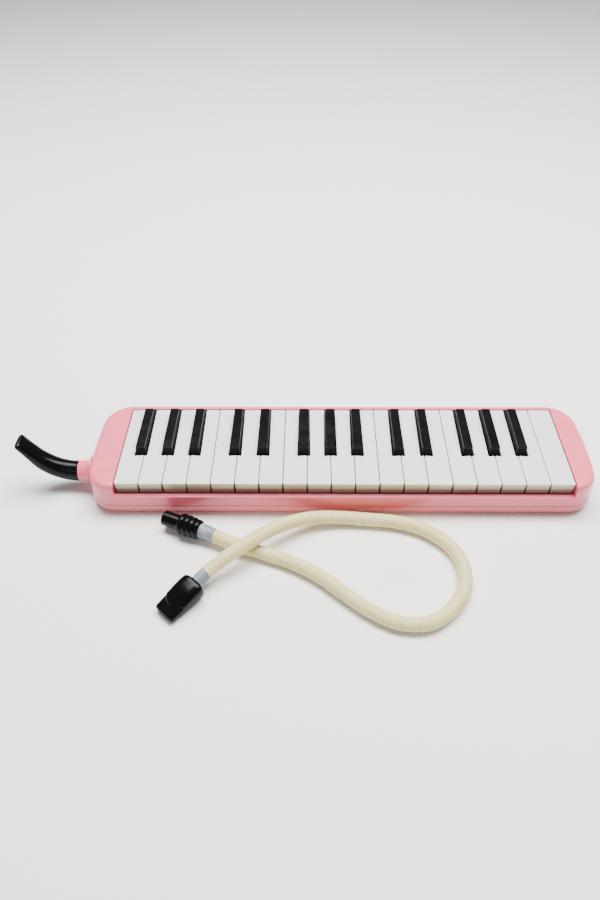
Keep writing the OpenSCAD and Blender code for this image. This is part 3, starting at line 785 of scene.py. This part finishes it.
def add_lower_case():
    """Lower half: tray with a round bottom edge, strap channel, screw wells and the valve's housing."""
    floor_r = BOTTOM_R - WALL
    rings = [case_ring(BOTTOM_R + 0.4, WALL)]
    rings += [case_ring(WALL + i, WALL + floor_r - rise) for i, rise in reversed(quarter(floor_r, 6))]
    rings += [case_ring(WALL, SEAM_Z + 1.4), case_ring(1.2, SEAM_Z + 1.4), case_ring(1.2, SEAM_Z),
              case_ring(0.6, SEAM_Z, True), case_ring(0.15, SEAM_Z - 0.2, True),
              case_ring(0, SEAM_Z - 0.6, True)]
    rings += [case_ring(i, BOTTOM_R - rise, True) for i, rise in quarter(BOTTOM_R, 12)]
    rings.append(case_ring(BOTTOM_R + 0.4, 0, True))
    half = STRAP_W / 2
    inside = [box_shell((STRAP_X0 - 3, STRAP_Y - half - 3, 1.5), (STRAP_X1 + 3, STRAP_Y + half + 3, 4.8))]
    inside += [drum(x, y, 1.5, SEAM_Z, POST_R) for x, y in CORNER_POSTS]
    inside += [drum(x, y, 1.5, 5.0, POST_R) for x, y in BED_POSTS]
    inside.append(box_shell((VALVE_X - 5, 44.2, 1.5), (VALVE_X + 4.4, 51.2, SEAM_Z)))
    holes = [slab(STRAP_X0, STRAP_X1, STRAP_Y - half - 1, STRAP_Y + half + 1, -4, 3, 3.0, 0.6)]
    screw_well = [(0, SCREW_WELL_R + 0.2), (1.2, SCREW_WELL_R), (3.0, SCREW_WELL_R), (3.0, SCREW_HOLE_R),
                  (21, SCREW_HOLE_R)]
    holes += [turned(screw_well, (x, y, -1), (0, 0, 1), 24) for x, y in CORNER_POSTS + BED_POSTS]
    holes += [drum(x, STRAP_Y, 2.5, 10, 1.35) for x in (STRAP_X0 + RIVET_IN, STRAP_X1 - RIVET_IN)]
    holes.append(turned([(0, 1.5), (2.6, 1.5), (2.6, 3.3), (20, 3.3)], (VALVE_X, 43, VALVE_Z), (0, 1, 0), 32))
    mesh = carve(mesh_from([loft(rings)]), [
        ("UNION", mesh_from(inside)), ("DIFFERENCE", mesh_from(holes)),
        ("DIFFERENCE", mesh_from([socket_hole()]))])
    soften(mesh, lambda a, b: max(a.z, b.z) < 0.05, 0.4, 2)
    return finish_piece("lower_shell", mesh, "case_pink", "case", ["lower_case"])


add_upper_case()
add_lower_case()


# ---------- keys ----------
def has_black(i):
    """Whether a black key stands after white key i; the first white key, 0, is F."""
    return 0 <= i < WHITE_KEYS - 1 and i % 7 not in (3, 6)


def black_middle(i):
    """Middle of the black key after white key i, set off from the gap as on a piano."""
    return KEYS_X0 + PITCH * (i + 1) + (-3, 0, 3, 0, -2, 2, 0)[i % 7]


def white_edges(i):
    """Left and right of a white key's head and of its shank."""
    a = KEYS_X0 + PITCH * i + KEY_GAP / 2
    b = a + PITCH - KEY_GAP
    side = BLACK_HALF + SHANK_GAP
    c = black_middle(i - 1) + side if has_black(i - 1) else a
    d = black_middle(i) - side if has_black(i) else b
    return a, b, c, d


def white_ring(i, inset, z):
    """Plan of a white key: wide head, and a shank that is notched for the black keys.

    Each corner has the signs that draw it in, and a radius, below zero where the corner is hollow.
    """
    a, b, c, d = white_edges(i)
    outer = 1.0
    corners = [(a, KEYS_Y0, 1, 1, outer), (b, KEYS_Y0, -1, 1, outer)]
    if d < b:
        corners += [(b, SHOULDER_Y, -1, -1, outer), (d, SHOULDER_Y, -1, -1, -0.3)]
    corners += [(d, KEYS_Y1, -1, -1, outer), (c, KEYS_Y1, 1, -1, outer)]
    if c > a:
        corners += [(c, SHOULDER_Y, 1, -1, -0.3), (a, SHOULDER_Y, 1, -1, outer)]
    plan = [(x + sx * inset, y + sy * inset, max(r - inset, 0.15) if r > 0 else inset - r)
            for x, y, sx, sy, r in corners]
    return corner_arcs(plan, z)


def add_white_key(number):
    i = number - 1
    _, _, c, d = white_edges(i)
    rings = [white_ring(i, SKIRT, ROOF_Z), white_ring(i, SKIRT, SKIRT_Z), white_ring(i, 0.25, SKIRT_Z),
             white_ring(i, 0, SKIRT_Z + 0.3)]
    rings += [white_ring(i, inset, WHITE_TOP - KEY_EDGE + rise) for inset, rise in quarter(KEY_EDGE, 4)]
    rings.append(white_ring(i, 1.0, WHITE_TOP))
    foot = slab(c + 0.3, d - 0.3, FOOT_Y0, FOOT_Y1, FOOT_Z, SKIRT_Z + 1, 0.6, 0.2)
    name = f"white_key_{number:02d}"
    finish_piece(f"white_keytop_{number:02d}", mesh_from([loft(rings), foot]), "key_white", name, [name])
    add_pad(name, (c + d) / 2)


def black_ring(x, inset, z):
    """Plan of a black key at a height: upright to the white keys' level, leaning in above it."""
    lift = max(0.0, z - WHITE_TOP) / (BLACK_TOP - WHITE_TOP)
    half = BLACK_HALF - 0.3 * lift - inset
    front = BLACK_Y0 + 1.5 * lift + inset
    back = BLACK_Y1 + 0.6 + 4.6 * (1 - lift) ** 2 - inset
    r = max(1.5 - inset, 0.3)
    corners = ((-half, front), (half, front), (half, back), (-half, back))
    return corner_arcs([(x + side, y, r) for side, y in corners], z, 5)


def add_black_key(number, i):
    x = black_middle(i)
    rings = [black_ring(x, SKIRT, ROOF_Z), black_ring(x, SKIRT, SKIRT_Z), black_ring(x, 0, SKIRT_Z)]
    rings += [black_ring(x, 0, WHITE_TOP + (BLACK_TOP - 0.5 - WHITE_TOP) * k / 5) for k in range(5)]
    rings += [black_ring(x, inset, BLACK_TOP - 0.5 + rise) for inset, rise in quarter(0.5, 4)]
    rings.append(black_ring(x, 0.7, BLACK_TOP))
    half = BLACK_HALF - 0.3
    foot = slab(x - half, x + half, FOOT_Y0, BLACK_Y1 - 1, FOOT_Z, SKIRT_Z + 1, 0.6, 0.2)
    name = f"black_key_{number:02d}"
    finish_piece(f"black_keytop_{number:02d}", mesh_from([loft(rings), foot]), "key_black", name, [name])
    add_pad(name, x)


def add_pad(key, x):
    """Felt valve pad under a key's tail, resting on the air slot."""
    shape = slab(x - PAD_HALF, x + PAD_HALF, 19.6, 37.6, BED_TOP + 0.02, FOOT_Z, 1.0, 0.4)
    finish_piece(f"pad_{key}", mesh_from([shape]), "felt", key)


for number in range(1, WHITE_KEYS + 1):
    add_white_key(number)
for number, after in enumerate((i for i in range(WHITE_KEYS) if has_black(i)), start=1):
    add_black_key(number, after)


# ---------- short mouthpiece ----------
BEND_R, BEND = 40.0, math.radians(58)
TIP_RUN = 20.0


def add_mouthpiece():
    """Curved black mouthpiece: plug with an O-ring groove, round neck, flat tip with a slot."""
    # share of the length, half width, half height, squareness
    outer = [(0, 9.0, 9.0, 2.0), (0.14, 8.8, 8.8, 2.0), (0.3, 8.6, 8.5, 2.0), (0.485, 8.4, 7.8, 2.1),
             (0.67, 8.2, 5.8, 2.3), (0.835, 8.2, 3.9, 2.6), (1.0, 8.2, 3.1, 2.9)]
    inner = [(0, 4.6, 4.6, 2.0), (0.3, 4.8, 4.0, 2.0), (0.67, 6.0, 2.8, 2.4), (1.0, 6.6, 1.4, 3.0)]
    bend_run = BEND_R * BEND
    full = bend_run + TIP_RUN

    def ring(t, half_w, half_h, power):
        run = t * full
        a = min(run / BEND_R, BEND)
        s = max(0.0, run - bend_run)
        middle = Vector((SOCKET_X - BEND_R * math.sin(a) - s * math.cos(a), SOCKET_Y,
                         SOCKET_Z + BEND_R * (1 - math.cos(a)) + s * math.sin(a)))
        return flat_ring(middle, Vector((0, 1, 0)), Vector((math.sin(a), 0, math.cos(a))),
                         half_w, half_h, power, 56)

    def stem(x, radius):
        return flat_ring(Vector((SOCKET_X + x, SOCKET_Y, SOCKET_Z)), Vector((0, 1, 0)), Vector((0, 0, 1)),
                         radius, radius, 2.0, 56)

    groove = PLUG_R - 1.1
    plug = [(15.2, 4.6), (15.2, PLUG_R - 0.5), (14.6, PLUG_R), (5.2, PLUG_R), (5.2, groove), (4.0, groove),
            (4.0, PLUG_R), (0.02, PLUG_R), (0.02, 8.8)]
    rings = [stem(x, radius) for x, radius in plug] + [ring(0.004, 9.0, 9.0, 2.0)]
    steps = 60
    for j in range(1, steps + 1):
        t = j / steps
        half_w, half_h, power = stage_value(outer, t)
        round_off = max(0.0, (t - 0.965) / 0.035)
        edge = 0.9 * (1 - math.sqrt(max(0.0, 1 - round_off ** 2)))
        rings.append(ring(t, half_w - edge, half_h - edge, power))
    for j in range(24, -1, -1):
        t = j / 24
        half_w, half_h, power = stage_value(inner, t)
        rings.append(ring(t, half_w, half_h, power))
    mesh = mesh_from([loft(rings, closed=True)])
    finish_piece("mouthpiece_shell", mesh, "black_plastic", "mouthpiece", ["mouthpiece"], 45)


add_mouthpiece()


# ---------- blow socket, valve and strap ----------
def add_socket():
    """Pink socket that the mouthpiece plugs into, flared against the case, and its duct to the chamber."""
    start = (SOCKET_X, SOCKET_Y, SOCKET_Z)
    flange_r = NOSE_R + 1.8
    nose = [(0.0, 8.8), (0.2, 9.05), (4.0, 9.25), (6.5, 9.6), (8.5, 10.3), (9.8, 11.2), (10.7, 12.3),
            (11.2, 13.2), (12.4, 13.2), (12.4, NOSE_R), (15.8, NOSE_R), (15.8, flange_r),
            (17.8, flange_r), (17.8, NOSE_R), (20, NOSE_R)]
    outside = [box_shell((-207.4, -27, 3.8), (-191.4, -7, 26)),
               box_shell((-207.4, -27, 3.8), (-189, 20, 15))]
    inside = [turned([(-1, SOCKET_R), (24, SOCKET_R)], start, (1, 0, 0), 64),
              box_shell((-205.8, -25.4, 5.4), (-193, -8.6, 24.4)),
              box_shell((-205.8, -25.4, 5.4), (-190.6, 18.4, 13.4)), box_shell((-192, 4, 5.4), (-188, 16, 8.4))]
    mesh = carve(mesh_from([turned(nose, start, (1, 0, 0), 64)]),
                 [("UNION", mesh_from([shell])) for shell in outside]
                 + [("DIFFERENCE", mesh_from([shell])) for shell in inside])
    finish_piece("socket_nose", mesh, "case_pink", "case", ["blow_socket"])


def add_spit_button():
    """Black push button of the spit valve, its stem and its seat."""
    profile = [(0, 2.1), (0.8, 2.1), (0.8, 1.4), (8.4, 1.4), (8.4, 3.1), (8.6, 3.2), (12.0, 3.2),
               (12.5, 3.0), (12.75, 2.5), (12.8, 1.2)]
    shape = turned(profile, (VALVE_X, 40.2, VALVE_Z), (0, 1, 0), 40)
    finish_piece("spit_button_shell", mesh_from([shape]), "black_plastic", "spit_button", ["spit_button"])


def add_spit_spring():
    """Wire coil round the button's stem."""
    turns, sides, wire = 3.5, 10, 0.32
    y0, y1, r = 45.9, 48.4, 2.25
    rings = []
    count = int(turns * 20)
    for j in range(count + 1):
        a = TAU * turns * j / count
        out = Vector((math.cos(a), 0, math.sin(a)))
        middle = Vector((VALVE_X, y0 + (y1 - y0) * j / count, VALVE_Z)) + out * r
        rings.append(flat_ring(middle, out, Vector((0, 1, 0)), wire, wire, 2.0, sides))
    finish_piece("spit_coil", mesh_from([loft(rings)]), "spring_steel", "case", ["spit_spring"])


def add_strap():
    """Woven hand strap in its channel, folded double at both ends, held by two buttons."""
    x0, x1 = STRAP_X0 + 0.6, STRAP_X1 - 0.6
    half = STRAP_W / 2
    shells = [slab(x0, x1, STRAP_Y - half, STRAP_Y + half, 1.25, 2.45, 0.8, 0.4)]
    for a, b in ((x0, x0 + STRAP_FOLD), (x1 - STRAP_FOLD, x1)):
        shells.append(slab(a, b, STRAP_Y - half + 0.3, STRAP_Y + half - 0.3, 1.2, 2.8, 0.8, 0.4))
    finish_piece("strap_tape", mesh_from(shells), "webbing", "case", ["hand_strap"])
    heads = [turned([(0, 3.2), (0.12, 4.1), (0.4, 4.5), (0.8, 4.5), (0.8, 1.3), (4.4, 1.3)],
                    (x, STRAP_Y, 0.3), (0, 0, 1), 40) for x in (STRAP_X0 + RIVET_IN, STRAP_X1 - RIVET_IN)]
    finish_piece("strap_rivets", mesh_from(heads), "steel", "case", ["strap_buttons"])


def add_felt_strip():
    """Felt strip under the front ends of the keys."""
    shape = slab(-186, 190, -45, -38, 15.4, 16.9, 0.5, 0.5)
    finish_piece("felt_strip", mesh_from([shape]), "felt", "case", ["front_felt"])


add_socket()
add_spit_button()
add_spit_spring()
add_strap()
add_felt_strip()


# ---------- screws ----------
def key_middles():
    """Middles of all key shanks from low to high."""
    middles = []
    for i in range(WHITE_KEYS):
        _, _, c, d = white_edges(i)
        middles.append((c + d) / 2)
        if has_black(i):
            middles.append(black_middle(i))
    return middles


def add_screws():
    notes = key_middles()
    between = [(notes[k] + notes[k + 1]) / 2 for k in (0, 5, 10, 14, 16, 21, 26, 30)]
    # name, places, head radius and height, shaft radius and length, node
    sets = [
        ("corner_screws", [(x, y, 0.4) for x, y in CORNER_POSTS], 2.4, 1.5, 1.0, 16.1, "case_screws"),
        ("bed_screws", [(x, y, 0.4) for x, y in BED_POSTS], 2.4, 1.5, 1.0, 10.1, "case_screws"),
        ("cover_screws", [(x, -5.5, 6.1) for x in (-170, -100, -30, 40, 110, 180)], 2.0, 1.3, 0.95, 6.6,
         "chamber_screws"),
        ("plate_screws", [(x, y, 8.2) for x in between for y in (2.6, 39)], 1.5, 1.0, 0.85, 4.5,
         "reed_plate_screws")]
    tree = screw_tree()
    for name, places, head_r, head_h, shaft_r, shaft_l, node in sets:
        mesh = grow(tree, points_mesh(places), {
            "Head radius": head_r * MM, "Head height": head_h * MM, "Shaft radius": shaft_r * MM,
            "Shaft length": shaft_l * MM, "Material": MATERIALS["steel"]})
        finish_piece(name, mesh, "steel", "case", [node])


add_screws()

# ---------- carried-over pieces of the frame ----------
for part in frame["record"]["subparts"]:
    holder = frame["nodes"][part["node"]]
    if not holder.material_slots:
        holder.data.materials.append(None)
    for place in holder.material_slots:
        place.material = MATERIALS[part["material_slot"]]

# ---------- floor and light ----------
FLOOR_HALF, FLOOR_Z = 3.0, -0.0002
floor_corners = [(x * FLOOR_HALF, y * FLOOR_HALF, FLOOR_Z) for x, y in ((-1, -1), (1, -1), (1, 1), (-1, 1))]
floor_mesh = bpy.data.meshes.new("floor")
floor_mesh.from_pydata(floor_corners, [], [(0, 1, 2, 3)])
floor_paint = blank_material("pale_floor", Roughness=0.8, Base_Color=srgb("#FBFBFA"))[0]
floor_mesh.materials.append(floor_paint)
add_object("floor", floor_mesh)

world = bpy.data.worlds.new("studio")
world.use_nodes = True
sky = world.node_tree.nodes["Background"].inputs
sky["Color"].default_value = srgb("#FFFFFF")
sky["Strength"].default_value = 0.28
bpy.context.scene.world = world
add_light("overhead", (0.1, 0.38, 1.45), (0, 0.0, 0), (1.7, 0.7), 85.0, (1.0, 0.995, 0.98))
add_light("front_fill", (-0.5, -1.3, 0.9), (0, -0.05, 0), (0.8, 0.6), 2.0)
